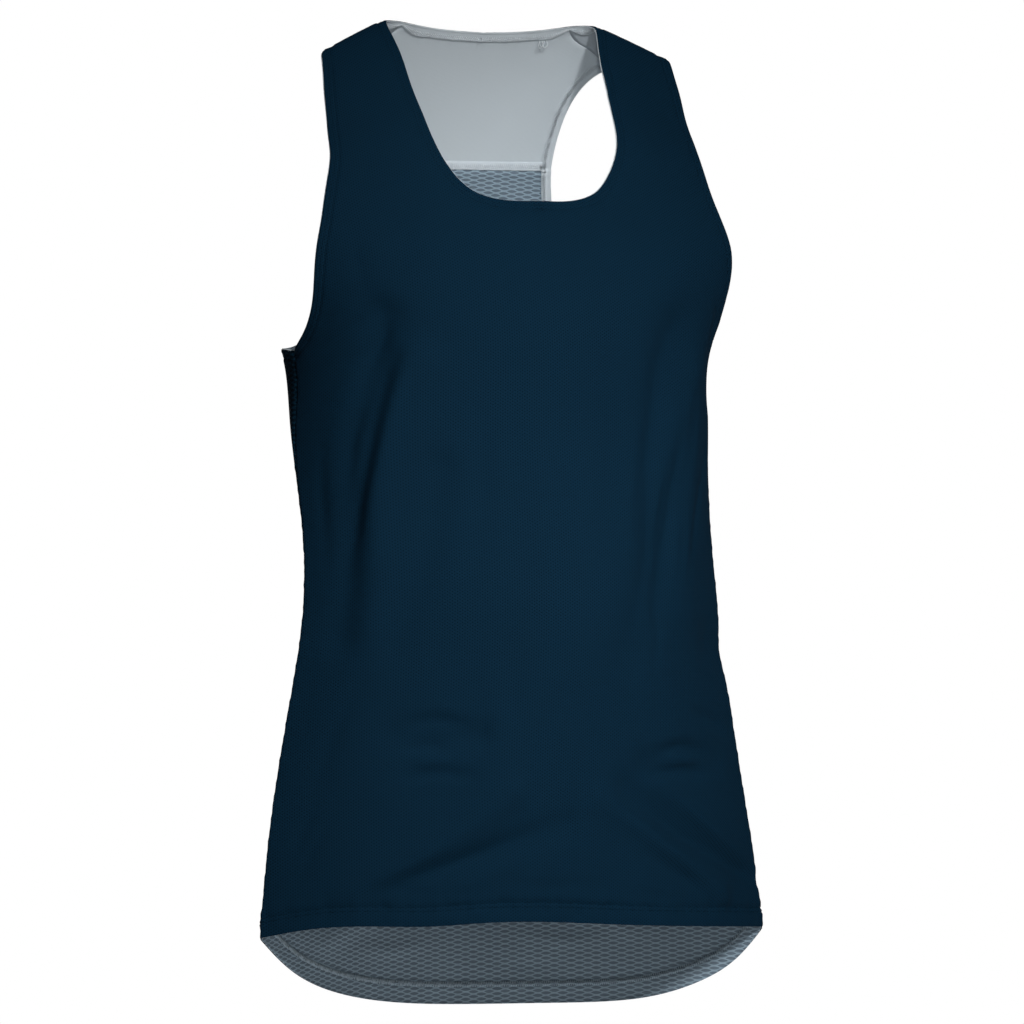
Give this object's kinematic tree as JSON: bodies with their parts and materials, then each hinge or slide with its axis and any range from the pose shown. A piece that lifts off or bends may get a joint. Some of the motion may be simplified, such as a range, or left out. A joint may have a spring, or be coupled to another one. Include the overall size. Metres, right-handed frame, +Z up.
{
  "type": "running singlet",
  "caption": "Sleeveless racer-back running top in dotted pique with a smooth yoke, a mesh-knit back and a dropped rounded tail, filled out as if worn.",
  "frame": {"origin": "midway between the two shoulder straps, at their highest points, where the wearer's shoulders hold the singlet", "axes": "+Z up; the front faces -Y, and the wearer's left is +X"},
  "size_m": [0.404, 0.2183, 0.7192],
  "materials": {
    "dotted_pique": "matte polyester pique knit with small staggered dots, navy outside and pale grey inside",
    "smooth_knit": "smooth matte polyester knit, navy outside and pale grey inside",
    "diamond_mesh": "polyester mesh knit with small lens-shaped hollows, navy outside and grey blue inside",
    "turned_edge": "turned and coverstitched edge, pale grey as the inside of the knit"
  },
  "bodies": {
    "root": {"front_panel": "dotted_pique", "back_yoke": "smooth_knit", "back_panel": "diamond_mesh", "neck_band": "turned_edge", "armhole_band_left": "turned_edge", "armhole_band_right": "turned_edge", "front_hem_turnup": "turned_edge", "back_hem_turnup": "diamond_mesh", "yoke_seam_band": "smooth_knit"}
  },
  "joints": []
}
